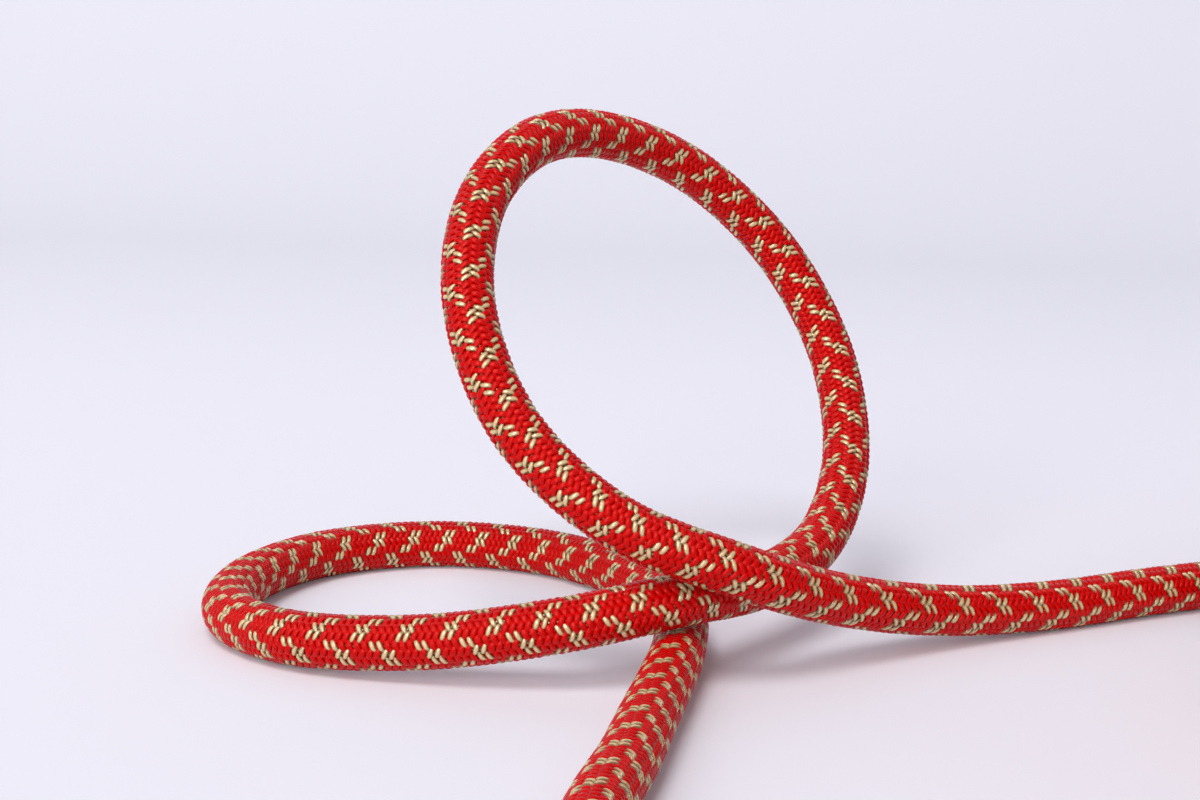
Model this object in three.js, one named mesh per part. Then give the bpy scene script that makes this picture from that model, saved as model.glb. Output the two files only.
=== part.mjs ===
// A dynamic climbing rope of kernmantle build, 30 m long and 10 mm thick.
// One stretch lies in a low loop, crosses itself and stands up in a tall loop.
// The rest is wound in a neat round coil beside it, held by three ties.
// Units are millimetres, +Z is up, and the rope lies on the plane z = 0.
// The origin is the middle of the whole footprint, on that plane.

import * as THREE from 'three';
import { mergeVertices } from 'three/addons/utils/BufferGeometryUtils.js';

// ---------------------------------------------------------------- driving dimensions

const ROPE_DIAMETER = 10;
const SHEATH_WALL = 0.85;
const SHEATH_SIDES = 10;
const STRAND_RADIUS = 0.78;
const STRAND_SIDES = 4;
const INNER_STRANDS = 3;
const OUTER_STRANDS = 9;
const STRAND_GAP = 0.2;
const MARKER_RADIUS = 0.22;
const MARKER_SIDES = 3;
const ROUTE_STEPS = 64;

const JOIN_GAP = 0.3;
const WIND_GAP = 0.5;

const SLEEVE_WALL = 0.65;
const SLEEVE_GAP = 0.35;
const SLEEVE_LENGTH = 28;
const TIP_LENGTH = 3;
const TIP_CHAMFER = 1;

const COIL_RADIUS = 105;
const COIL_LAYERS = 9;
const COIL_COLUMNS = 7;
const LAYER_PITCH = 10.4;
const COLUMN_PITCH = 10.6;
const COIL_SHOULDER = 15;
const COIL_START_ANGLE = 100;
const CLIMB_START_ANGLE = 130;
const TURN_STEPS = 24;
const COIL_TUBE_SIDES = 6;
const CORNER_STEPS = 4;

const CLIMB_ANGLE = 60;
const CLIMB_STEPS = 4;
const TAIL_LENGTH = 46;

const TIE_ANGLES = [144, 255, 6];
const TIE_WIDTH = 14;
const TIE_THICKNESS = 1.2;
const TIE_GAP = 0.3;
const TIE_CORNER = 4.5;
const TIE_TAB_LENGTH = 40;

const ROPE_RADIUS = ROPE_DIAMETER / 2;
const SLEEVE_RADIUS = ROPE_RADIUS + SLEEVE_GAP + SLEEVE_WALL;

// The free stretch, from the near end to the point where it enters the coil.
const ROUTE = [
  [-136.5, -110, 6],
  [-133.5, -86.5, 6],
  [-130.5, -63, 5.5],
  [-126, -40.5, 5],
  [-122.5, -19.5, 5],
  [-119, 1, 5],
  [-116, 22.5, 5],
  [-115.5, 46, 5],
  [-124, 71, 5],
  [-142, 91.5, 5],
  [-166.5, 97, 5],
  [-189.5, 85, 5],
  [-202, 60, 5],
  [-201, 34.5, 5],
  [-186.5, 18, 5.5],
  [-161.5, 11, 7.5],
  [-137, 9, 12],
  [-117, 15, 15.5],
  [-100, 35, 14.5],
  [-86, 60, 18.5],
  [-79.5, 83.5, 32],
  [-82.5, 101, 51.5],
  [-94.5, 108.5, 71.5],
  [-112.5, 104, 87.5],
  [-131.5, 89.5, 95.5],
  [-146.5, 69.5, 94.5],
  [-156, 49, 83],
  [-156.5, 32, 65],
  [-147, 18.5, 45.5],
  [-129, 10, 31],
  [-106.5, 12, 22],
  [-85.5, 28, 13],
  [-62, 45.5, 7],
  [-38.5, 60, 5],
  [-16.5, 73, 5],
  [2.5, 83, 5],
  [24, 92.5, 5.5],
  [45.5, 99.5, 6.5],
  [67.5, 103.5, 6.5],
].map(([x, y, z]) => new THREE.Vector3(x, y, z));

// ---------------------------------------------------------------- finishes

const FINISHES = {
  sheath: { color: 0xc8202a, roughness: 0.6, metalness: 0 },
  strand: { color: 0xf2f0ea, roughness: 0.7, metalness: 0 },
  marker: { color: 0x2f6fb0, roughness: 0.6, metalness: 0 },
  sleeve: { color: 0x1c1c1e, roughness: 0.45, metalness: 0 },
  tip: { color: 0x8c1a1f, roughness: 0.4, metalness: 0 },
  tie: { color: 0x26262a, roughness: 0.85, metalness: 0 },
};

const rope = new THREE.Group();

function addPiece(name, geometry, finish) {
  const mesh = new THREE.Mesh(geometry, new THREE.MeshStandardMaterial(FINISHES[finish]));
  mesh.name = name;
  rope.add(mesh);
  return mesh;
}

// ---------------------------------------------------------------- shapes

// A regular outline of the given corner radius, centred at (x, y) in the rope's section.
function regularOutline(Kind, sides, radius, x = 0, y = 0) {
  const outline = new Kind();
  for (let i = 0; i < sides; i += 1) {
    const angle = (i / sides) * Math.PI * 2;
    const px = x + radius * Math.cos(angle);
    const py = y + radius * Math.sin(angle);
    if (i === 0) {
      outline.moveTo(px, py);
    } else {
      outline.lineTo(px, py);
    }
  }
  outline.closePath();
  return outline;
}

function closedGeometry(positions, indices) {
  const geometry = new THREE.BufferGeometry();
  geometry.setAttribute('position', new THREE.Float32BufferAttribute(positions, 3));
  geometry.setIndex(indices);
  return mergeVertices(geometry, 1e-5);
}

function alongPath(section, path, steps) {
  return new THREE.ExtrudeGeometry(section, {
    steps,
    bevelEnabled: false,
    curveSegments: 1,
    extrudePath: path,
  });
}

// A solid tube whose rings stand square to a line of points, with a flat face at each end.
function woundTube(line, radius, sides) {
  const up = new THREE.Vector3(0, 0, 1);
  const positions = [];
  const indices = [];
  line.forEach((point, i) => {
    const before = line[Math.max(i - 1, 0)];
    const after = line[Math.min(i + 1, line.length - 1)];
    const forward = after.clone().sub(before).normalize();
    const side = forward.clone().cross(up).normalize();
    const lift = side.clone().cross(forward).normalize();
    for (let k = 0; k < sides; k += 1) {
      const angle = (k / sides) * Math.PI * 2;
      const corner = point.clone();
      corner.addScaledVector(side, radius * Math.cos(angle));
      corner.addScaledVector(lift, radius * Math.sin(angle));
      positions.push(corner.x, corner.y, corner.z);
    }
  });
  for (let i = 0; i < line.length - 1; i += 1) {
    for (let k = 0; k < sides; k += 1) {
      const a = i * sides + k;
      const b = i * sides + ((k + 1) % sides);
      indices.push(a, b + sides, b, a, a + sides, b + sides);
    }
  }
  const last = (line.length - 1) * sides;
  for (let k = 1; k < sides - 1; k += 1) {
    indices.push(0, k, k + 1);
    indices.push(last, last + k + 1, last + k);
  }
  return closedGeometry(positions, indices);
}

// A ring-shaped sleeve or a solid tip that stands on the line from one point to another.
function straightPiece(section, from, to) {
  return alongPath(section, new THREE.LineCurve3(from, to), 1);
}

// ---------------------------------------------------------------- the free stretch

const route = new THREE.CatmullRomCurve3(ROUTE, false, 'centripetal');
route.arcLengthDivisions = 2000;

function sheathSection() {
  const section = regularOutline(THREE.Shape, SHEATH_SIDES, ROPE_RADIUS);
  const bore = ROPE_RADIUS - SHEATH_WALL;
  section.holes.push(regularOutline(THREE.Path, SHEATH_SIDES, bore));
  return section;
}

function addSheath() {
  addPiece('woven_sheath', alongPath(sheathSection(), route, ROUTE_STEPS), 'sheath');
}

// The strands of the core lie in two rings under the sheath, never thicker than both fit.
const boreFlat = (ROPE_RADIUS - SHEATH_WALL) * Math.cos(Math.PI / SHEATH_SIDES);
const innerSpread = 1 / Math.sin(Math.PI / INNER_STRANDS);
const strandRoom = (boreFlat - STRAND_GAP * (2 + innerSpread / 2)) / (3 + innerSpread);
const strandRadius = Math.min(STRAND_RADIUS, strandRoom);

function strandRings() {
  const inner = (strandRadius + STRAND_GAP / 2) * innerSpread;
  const outer = boreFlat - STRAND_GAP - strandRadius;
  return [
    { count: INNER_STRANDS, radius: inner, turn: 0 },
    { count: OUTER_STRANDS, radius: outer, turn: 0 },
  ];
}

function addStrands() {
  let number = 0;
  for (const ring of strandRings()) {
    for (let i = 0; i < ring.count; i += 1) {
      number += 1;
      const angle = ring.turn + (i / ring.count) * Math.PI * 2;
      const x = ring.radius * Math.cos(angle);
      const y = ring.radius * Math.sin(angle);
      const section = regularOutline(THREE.Shape, STRAND_SIDES, strandRadius, x, y);
      const name = `core_strand_${String(number).padStart(2, '0')}`;
      addPiece(name, alongPath(section, route, ROUTE_STEPS), 'strand');
    }
  }
}

// A thin marker thread lies in the valley between two outer strands and the sheath.
function addMarkerThread() {
  const outer = strandRings()[1];
  const angle = outer.turn + Math.PI / outer.count;
  const radius = outer.radius + strandRadius / 2;
  const x = radius * Math.cos(angle);
  const y = radius * Math.sin(angle);
  const section = regularOutline(THREE.Shape, MARKER_SIDES, MARKER_RADIUS, x, y);
  addPiece('marker_thread', alongPath(section, route, ROUTE_STEPS), 'marker');
}

// ---------------------------------------------------------------- the coil

const coilBottom = TIE_THICKNESS + TIE_GAP;
const bottomTurn = coilBottom + ROPE_RADIUS;
const topTurn = bottomTurn + (COIL_LAYERS - 1) * LAYER_PITCH;
const coilTop = topTurn + ROPE_RADIUS;
const innerTurn = COIL_RADIUS - (COIL_COLUMNS - 1) * COLUMN_PITCH;
const boreRadius = innerTurn - ROPE_RADIUS;

const startAngle = THREE.MathUtils.degToRad(COIL_START_ANGLE);
const climbStart = THREE.MathUtils.degToRad(CLIMB_START_ANGLE);
const climbAngle = THREE.MathUtils.degToRad(CLIMB_ANGLE);
const climbHeight = ROPE_RADIUS + SLEEVE_RADIUS + WIND_GAP;
const tailAngle = climbStart - climbAngle;

// The turns run clockwise, seen from above.
function headingAt(angle) {
  return new THREE.Vector3(Math.sin(angle), -Math.cos(angle), 0);
}

// The coil's middle follows from where the free stretch ends and the way it heads there.
function coilMiddle() {
  const middle = ROUTE[ROUTE.length - 1].clone();
  middle.addScaledVector(headingAt(startAngle), JOIN_GAP + ROPE_DIAMETER);
  middle.x -= COIL_RADIUS * Math.cos(startAngle);
  middle.y -= COIL_RADIUS * Math.sin(startAngle);
  return middle;
}

const coilCentre = coilMiddle();

// The outer layer goes up the outside, round the shoulder and in across the top.
const rise = topTurn - bottomTurn - COIL_SHOULDER;
const bend = (COIL_SHOULDER * Math.PI) / 2;
const across = COIL_RADIUS - COIL_SHOULDER - innerTurn;

// As many turns as fit with the least gap round the shoulder, ended where the climb starts.
function turnCount() {
  const chord = ROPE_DIAMETER + WIND_GAP;
  const pitch = 2 * COIL_SHOULDER * Math.asin(chord / (2 * COIL_SHOULDER));
  const whole = Math.floor((rise + bend + across) / pitch);
  return whole + (COIL_START_ANGLE - CLIMB_START_ANGLE) / 360;
}

// The radius and height of the outer layer at a share of its line in the coil's section.
function sectionPoint(share) {
  const along = share * (rise + bend + across);
  if (along <= rise) {
    return { radius: COIL_RADIUS, height: bottomTurn + along };
  }
  if (along <= rise + bend) {
    const angle = (along - rise) / COIL_SHOULDER;
    const radius = COIL_RADIUS - COIL_SHOULDER * (1 - Math.cos(angle));
    return { radius, height: topTurn - COIL_SHOULDER * (1 - Math.sin(angle)) };
  }
  const rest = along - rise - bend;
  return { radius: COIL_RADIUS - COIL_SHOULDER - rest, height: topTurn };
}

function coilPoint(angle, radius, height) {
  const x = coilCentre.x + radius * Math.cos(angle);
  const y = coilCentre.y + radius * Math.sin(angle);
  return new THREE.Vector3(x, y, height);
}

function tailPoint(distance) {
  const foot = coilPoint(tailAngle, innerTurn, topTurn + climbHeight);
  return foot.addScaledVector(headingAt(tailAngle), distance);
}

// The outer layer in one line: a straight lead-in, the turns, the climb onto the top turns
// and the straight tail that lies across them.
function coilLine() {
  const line = [];
  const leadIn = coilPoint(startAngle, COIL_RADIUS, bottomTurn);
  line.push(leadIn.addScaledVector(headingAt(startAngle), -ROPE_DIAMETER));
  const steps = Math.round(turnCount() * TURN_STEPS);
  for (let i = 0; i <= steps; i += 1) {
    const { radius, height } = sectionPoint(i / steps);
    line.push(coilPoint(startAngle - (i / TURN_STEPS) * Math.PI * 2, radius, height));
  }
  for (let i = 1; i <= CLIMB_STEPS; i += 1) {
    const share = i / CLIMB_STEPS;
    const height = topTurn + climbHeight * THREE.MathUtils.smoothstep(share, 0, 1);
    line.push(coilPoint(climbStart - share * climbAngle, innerTurn, height));
  }
  line.push(tailPoint(TAIL_LENGTH / 2));
  line.push(tailPoint(TAIL_LENGTH));
  return line;
}

// The least gap between the turns, measured on points a short step apart.
function leastGap(line, diameter) {
  const points = [];
  const spacing = diameter / 4;
  let travelled = 0;
  for (let i = 0; i < line.length - 1; i += 1) {
    const length = line[i].distanceTo(line[i + 1]);
    const count = Math.ceil(length / spacing);
    for (let k = 0; k < count; k += 1) {
      const at = line[i].clone().lerp(line[i + 1], k / count);
      points.push({ at, travelled: travelled + (length * k) / count });
    }
    travelled += length;
  }
  let least = Infinity;
  for (let i = 0; i < points.length; i += 1) {
    for (let j = i + 1; j < points.length; j += 1) {
      if (points[j].travelled - points[i].travelled > diameter * 4) {
        least = Math.min(least, points[i].at.distanceTo(points[j].at));
      }
    }
  }
  return least - diameter;
}

function addOuterTurns() {
  const line = coilLine();
  addPiece('coil_outer_turns', woundTube(line, ROPE_RADIUS, COIL_TUBE_SIDES), 'sheath');
  console.log(`least gap between turns: ${leastGap(line, ROPE_DIAMETER).toFixed(2)} mm`);
}

// The whole rope: the free stretch, every turn of every layer, the climb and the tail.
function ropeLength() {
  const meanRadius = (COIL_RADIUS + innerTurn) / 2;
  const turns = COIL_LAYERS * COIL_COLUMNS;
  const tail = climbAngle * innerTurn + TAIL_LENGTH;
  return route.getLength() + turns * meanRadius * Math.PI * 2 + tail;
}

// The turns under the outer layer fill a plain ring with one rounded shoulder. Its corners
// stand at the same angles as those of the outer turns.
function addInnerTurns() {
  const outside = COIL_RADIUS - ROPE_RADIUS - WIND_GAP;
  const top = topTurn - ROPE_RADIUS - WIND_GAP;
  const shoulder = COIL_SHOULDER - ROPE_RADIUS - WIND_GAP;
  const profile = [];
  for (let i = 0; i <= CORNER_STEPS; i += 1) {
    const angle = ((i / CORNER_STEPS) * Math.PI) / 2;
    const x = boreRadius + ROPE_RADIUS * (1 - Math.cos(angle));
    profile.push(new THREE.Vector2(x, coilBottom + ROPE_RADIUS * (1 - Math.sin(angle))));
  }
  profile.push(new THREE.Vector2(outside, coilBottom));
  for (let i = 0; i <= CORNER_STEPS; i += 1) {
    const angle = ((i / CORNER_STEPS) * Math.PI) / 2;
    const x = outside - shoulder * (1 - Math.cos(angle));
    profile.push(new THREE.Vector2(x, top - shoulder * (1 - Math.sin(angle))));
  }
  profile.push(new THREE.Vector2(boreRadius, top));
  profile.push(profile[0].clone());
  const geometry = new THREE.LatheGeometry(profile, TURN_STEPS);
  geometry.rotateX(Math.PI / 2);
  geometry.rotateZ(startAngle);
  geometry.translate(coilCentre.x, coilCentre.y, 0);
  addPiece('coil_inner_turns', geometry, 'sheath');
}

// ---------------------------------------------------------------- the two ends

function sleeveSection() {
  const section = regularOutline(THREE.Shape, SHEATH_SIDES, SLEEVE_RADIUS);
  const bore = ROPE_RADIUS + SLEEVE_GAP;
  section.holes.push(regularOutline(THREE.Path, SHEATH_SIDES, bore));
  return section;
}

// The fused end is a short plug with a chamfered edge, turned about the rope's line.
function tipGeometry(at, outward) {
  const profile = [new THREE.Vector2(0, 0)];
  profile.push(new THREE.Vector2(ROPE_RADIUS, 0));
  profile.push(new THREE.Vector2(ROPE_RADIUS, TIP_LENGTH - TIP_CHAMFER));
  profile.push(new THREE.Vector2(ROPE_RADIUS - TIP_CHAMFER, TIP_LENGTH));
  profile.push(new THREE.Vector2(0, TIP_LENGTH));
  const geometry = new THREE.LatheGeometry(profile, SHEATH_SIDES * 2);
  const turn = new THREE.Quaternion();
  turn.setFromUnitVectors(new THREE.Vector3(0, 1, 0), outward);
  geometry.applyQuaternion(turn);
  geometry.translate(at.x, at.y, at.z);
  return geometry;
}

// An end has its sleeve just behind the cut face and its fused tip just past it.
function addEnd(name, face, outward) {
  const start = face.clone().addScaledVector(outward, -JOIN_GAP);
  const back = start.clone().addScaledVector(outward, -SLEEVE_LENGTH);
  addPiece(`${name}_end_sleeve`, straightPiece(sleeveSection(), back, start), 'sleeve');
  const tipFoot = face.clone().addScaledVector(outward, JOIN_GAP);
  addPiece(`${name}_end_tip`, tipGeometry(tipFoot, outward), 'tip');
}

function addEnds() {
  const nearFace = ROUTE[0].clone();
  addEnd('near', nearFace, nearFace.clone().sub(ROUTE[1]).normalize());
  addEnd('far', tailPoint(TAIL_LENGTH), headingAt(tailAngle));
}

// ---------------------------------------------------------------- the ties

// A closed outline with four round corners, from its low and high corner. A tab is a
// raised length in the middle of its outer side.
function roundedOutline(Kind, low, high, corner, tab = 0) {
  const outline = new Kind();
  outline.moveTo(low.x + corner, low.y);
  outline.lineTo(high.x - corner, low.y);
  outline.absarc(high.x - corner, low.y + corner, corner, -Math.PI / 2, 0);
  if (tab > 0) {
    const middle = (low.y + high.y) / 2;
    outline.lineTo(high.x, middle - tab / 2);
    outline.lineTo(high.x + TIE_THICKNESS, middle - tab / 2);
    outline.lineTo(high.x + TIE_THICKNESS, middle + tab / 2);
    outline.lineTo(high.x, middle + tab / 2);
  }
  outline.lineTo(high.x, high.y - corner);
  outline.absarc(high.x - corner, high.y - corner, corner, 0, Math.PI / 2);
  outline.lineTo(low.x + corner, high.y);
  outline.absarc(low.x + corner, high.y - corner, corner, Math.PI / 2, Math.PI);
  outline.lineTo(low.x, low.y + corner);
  outline.absarc(low.x + corner, low.y + corner, corner, Math.PI, Math.PI * 1.5);
  return outline;
}

// A tie is one strap round the bundle. Its loose end lies on itself as a second layer on
// the outside, which makes the strap twice as thick there.
function tieShape() {
  const half = TIE_WIDTH / 2;
  const boreFlat = boreRadius * Math.cos(Math.PI / TURN_STEPS);
  const inside = Math.sqrt(boreFlat * boreFlat - half * half) - TIE_GAP;
  const outside = COIL_RADIUS + ROPE_RADIUS + TIE_GAP;
  const low = new THREE.Vector2(inside, TIE_THICKNESS);
  const high = new THREE.Vector2(outside, coilTop + TIE_GAP);
  const grow = new THREE.Vector2(TIE_THICKNESS, TIE_THICKNESS);
  const outer = roundedOutline(
    THREE.Shape,
    low.clone().sub(grow),
    high.clone().add(grow),
    TIE_CORNER + TIE_THICKNESS,
    TIE_TAB_LENGTH,
  );
  outer.holes.push(roundedOutline(THREE.Path, low, high, TIE_CORNER));
  return outer;
}

function addTies() {
  TIE_ANGLES.forEach((angle, i) => {
    const geometry = new THREE.ExtrudeGeometry(tieShape(), {
      depth: TIE_WIDTH,
      bevelEnabled: false,
      curveSegments: CORNER_STEPS,
    });
    geometry.translate(0, 0, -TIE_WIDTH / 2);
    geometry.rotateX(Math.PI / 2);
    geometry.rotateZ(THREE.MathUtils.degToRad(angle));
    geometry.translate(coilCentre.x, coilCentre.y, 0);
    addPiece(`coil_tie_${i + 1}`, geometry, 'tie');
  });
}

addSheath();
addStrands();
addMarkerThread();
addOuterTurns();
addInnerTurns();
addEnds();
addTies();
console.log(`rope length: ${(ropeLength() / 1000).toFixed(2)} m`);

export default rope;
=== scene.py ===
"""A dynamic climbing rope: a braided free stretch, and the rest wound in a tied coil.

The free stretch lies in a low loop, crosses itself and stands up in a tall loop. The
classes of the rope hold their sizes in millimetres, and every mesh is made in metres.
"""

import logging
import math
from contextlib import contextmanager
from dataclasses import dataclass, field
from enum import Enum
from typing import Iterator, Sequence

import bpy
import numpy as np
from mathutils import Matrix, Vector


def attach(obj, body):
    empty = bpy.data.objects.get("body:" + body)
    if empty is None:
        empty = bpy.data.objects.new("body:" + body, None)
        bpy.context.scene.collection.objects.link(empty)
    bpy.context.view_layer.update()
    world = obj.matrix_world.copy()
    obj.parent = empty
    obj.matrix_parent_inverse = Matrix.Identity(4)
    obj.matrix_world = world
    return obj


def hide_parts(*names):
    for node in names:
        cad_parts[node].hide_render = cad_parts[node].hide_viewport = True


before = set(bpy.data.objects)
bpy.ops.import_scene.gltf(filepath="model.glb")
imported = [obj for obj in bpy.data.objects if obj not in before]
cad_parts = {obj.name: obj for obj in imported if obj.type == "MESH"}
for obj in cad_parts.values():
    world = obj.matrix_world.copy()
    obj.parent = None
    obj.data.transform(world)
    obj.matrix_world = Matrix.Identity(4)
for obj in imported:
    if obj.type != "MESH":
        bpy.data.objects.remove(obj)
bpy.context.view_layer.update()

LOG = logging.getLogger("rope")
MM = 0.001
BODY = "root"
BAKE_MAP = "OFBake"
ROPE_RADIUS = 5.0
ROUTE_STEPS = 48
PATH_POINTS = 400

Rows = np.ndarray
Number = np.ndarray | float
Pair = tuple[float, float]
Point = tuple[float, float, float]
Colour = tuple[float, float, float, float]
Piece = bpy.types.Object
Material = bpy.types.Material
Socket = bpy.types.NodeSocket

# The free stretch's route, near end first, in millimetres.
ROUTE = (
    (-136.5, -110, 6), (-133.5, -86.5, 6), (-130.5, -63, 5.5), (-126, -40.5, 5),
    (-122.5, -19.5, 5), (-119, 1, 5), (-116, 22.5, 5), (-115.5, 46, 5), (-124, 71, 5),
    (-142, 91.5, 5), (-166.5, 97, 5), (-189.5, 85, 5), (-202, 60, 5), (-201, 34.5, 5),
    (-186.5, 18, 5.5), (-161.5, 11, 7.5), (-137, 9, 12), (-117, 15, 15.5), (-100, 35, 14.5),
    (-86, 60, 18.5), (-79.5, 83.5, 32), (-82.5, 101, 51.5), (-94.5, 108.5, 71.5),
    (-112.5, 104, 87.5), (-131.5, 89.5, 95.5), (-146.5, 69.5, 94.5), (-156, 49, 83),
    (-156.5, 32, 65), (-147, 18.5, 45.5), (-129, 10, 31), (-106.5, 12, 22), (-85.5, 28, 13),
    (-62, 45.5, 7), (-38.5, 60, 5), (-16.5, 73, 5), (2.5, 83, 5), (24, 92.5, 5.5),
    (45.5, 99.5, 6.5), (67.5, 103.5, 6.5),
)

# How the sheath lies on the free stretch: the distance from the near end in millimetres,
# how many tracer crossings have been passed there, and the sheath's turn in degrees.
SHEATH_LAY = (
    (0, 0.0, 42), (48, 4.9, 43), (104, 11.15, 44), (188, 20.2, 41), (244, 26.95, 48),
    (286, 31.7, 51), (314, 35.3, 46), (342, 39.25, 39), (370, 42.7, 40), (412, 47.9, 47),
    (454, 52.95, 40), (510, 58.9, 24), (566, 65.25, 17), (622, 71.4, 16), (678, 77.6, 15),
    (706, 80.75, 19), (748, 85.95, 23), (776, 88.8, 19), (804, 91.35, 17), (832, 94.15, 20),
    (860, 97.3, 23), (950, 107.3, 23),
)
LAY_MARKS, LAY_CROSSINGS, LAY_TWIST = np.array(SHEATH_LAY, float).T


class Way(Enum):
    """The two ways in which the yarns of a braid run round the rope."""

    WITH = 1
    AGAINST = -1


class End(Enum):
    """The two ends of the rope."""

    NEAR = "near"
    FAR = "far"


class Slot(Enum):
    """The record's material slots."""

    SHEATH = "sheath"
    STRAND = "core_strand"
    MARKER = "marker_thread"
    SLEEVE = "end_sleeve"
    TIP = "fused_tip"
    TIE = "coil_tie"


def srgb(*levels: int) -> Colour:
    """Turn an 8-bit display colour into the linear colour that a shader takes.

    Args:
        levels: Red, green and blue, from 0 to 255.

    Returns:
        Linear red, green, blue and an alpha of 1.
    """
    shares = (level / 255 for level in levels)
    linear = (s / 12.92 if s <= 0.04045 else ((s + 0.055) / 1.055) ** 2.4 for s in shares)
    return (*linear, 1.0)


# ---------------- lines


def unit(rows: Rows) -> Rows:
    """Scale each row to a length of 1."""
    return rows / np.linalg.norm(rows, axis=1, keepdims=True)


def smoothstep(share: Rows) -> Rows:
    """Ease a share that runs from 0 to 1."""
    return share**2 * (3 - 2 * share)


def distances(points: Rows) -> Rows:
    """How far along a run of points each one lies, from the first."""
    gaps = np.linalg.norm(np.diff(points, axis=0), axis=1)
    return np.concatenate([[0.0], np.cumsum(gaps)])


def corner_angles(sides: int) -> Rows:
    """The angles of a ring's corners, in radians."""
    return np.arange(sides) / sides * math.tau


def polar(radius: Number, angle: Number, height: Number) -> Rows:
    """Place points round the upright axis.

    Args:
        radius: Their distances from the axis.
        angle: Their angles round it, in degrees.
        height: Their heights.

    Returns:
        The points, one row each.
    """
    turn = np.radians(angle)
    flat = radius * np.cos(turn), radius * np.sin(turn)
    return np.stack(np.broadcast_arrays(*flat, height), axis=-1)


def smooth_points(points: Sequence[Sequence[float]], steps: int) -> Rows:
    """Run a centripetal curve through points, with its ends carried straight on.

    Args:
        points: The points that the curve passes through, in millimetres.
        steps: How many samples each stretch between two points gets.

    Returns:
        The samples, one row each.
    """
    given = np.asarray(points, float)
    chain = np.vstack([2 * given[0] - given[1], given, 2 * given[-1] - given[-2]])
    share = (np.arange(steps) / steps)[:, None]
    rows = []
    for p0, p1, p2, p3 in zip(chain[:-3], chain[1:-2], chain[2:-1], chain[3:]):
        pairs = ((p0, p1), (p1, p2), (p2, p3))
        d0, d1, d2 = (math.sqrt(float(np.linalg.norm(b - a))) for a, b in pairs)
        leave = ((p1 - p0) / d0 - (p2 - p0) / (d0 + d1) + (p2 - p1) / d1) * d1
        arrive = ((p2 - p1) / d1 - (p3 - p1) / (d1 + d2) + (p3 - p2) / d2) * d1
        square = -3 * p1 + 3 * p2 - 2 * leave - arrive
        cube = 2 * p1 - 2 * p2 + leave + arrive
        rows.append(p1 + leave * share + square * share**2 + cube * share**3)
    return np.vstack([*rows, given[-1:]])


def eased(at: Rows, marks: Rows, values: Rows) -> Rows:
    """Read a smooth curve through values at marks.

    Args:
        at: Where to read it.
        marks: Where the values stand, in rising order.
        values: The values.

    Returns:
        The curve's value at each place.
    """
    slopes = np.gradient(values, marks)
    cell = np.clip(np.searchsorted(marks, at) - 1, 0, len(marks) - 2)
    width = marks[cell + 1] - marks[cell]
    t = (at - marks[cell]) / width
    return (
        values[cell] * (1 + 2 * t) * (1 - t) ** 2
        + values[cell + 1] * t**2 * (3 - 2 * t)
        + slopes[cell] * width * t * (1 - t) ** 2
        - slopes[cell + 1] * width * t**2 * (1 - t)
    )


@dataclass
class Line:
    """A finely sampled line whose frames turn as little as they can about it."""

    points: Rows
    along: Rows = field(init=False)  # how far along the line each sample lies
    tangent: Rows = field(init=False)  # the line's heading there
    normal: Rows = field(init=False)  # the first of the two axes across it there

    def __post_init__(self) -> None:
        """Work out the distances, the tangents and the untwisted normals."""
        self.along = distances(self.points)
        self.tangent = unit(np.gradient(self.points, self.along, axis=0))
        normal = np.array([0.0, 0.0, 1.0])
        rows = []
        for heading in self.tangent:
            normal = normal - heading * float(normal @ heading)
            normal = normal / np.linalg.norm(normal)
            rows.append(normal)
        self.normal = np.array(rows)

    @property
    def length(self) -> float:
        """The whole length, in millimetres."""
        return float(self.along[-1])

    def _read(self, rows: Rows, at: Rows) -> Rows:
        """Read sampled rows at distances along the line."""
        return np.stack([np.interp(at, self.along, rows[:, i]) for i in range(3)], axis=1)

    def place(self, at: Rows) -> Rows:
        """Points of the line at distances along it."""
        return self._read(self.points, at)

    def frames(self, at: Rows) -> tuple[Rows, Rows, Rows]:
        """Read the line's frames.

        Args:
            at: Distances along the line, in millimetres.

        Returns:
            The tangents, the normals and the third axes, one row each.
        """
        tangent = unit(self._read(self.tangent, at))
        normal = self._read(self.normal, at)
        normal = unit(normal - tangent * np.sum(normal * tangent, axis=1, keepdims=True))
        return tangent, normal, np.cross(tangent, normal)


# ---------------- meshes


def link(name: str, data: bpy.types.ID) -> Piece:
    """Make an object and link it to the scene.

    Args:
        name: The object's name.
        data: Its mesh, lamp or camera.

    Returns:
        The object.
    """
    made = bpy.data.objects.new(name, data)
    bpy.context.scene.collection.objects.link(made)
    return made


def vertex_places(mesh: bpy.types.Mesh) -> Rows:
    """Read a mesh's vertices.

    Args:
        mesh: The mesh.

    Returns:
        Their places in millimetres, one row each.
    """
    places = np.empty(len(mesh.vertices) * 3)
    mesh.vertices.foreach_get("co", places)
    return places.reshape(-1, 3) / MM


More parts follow.
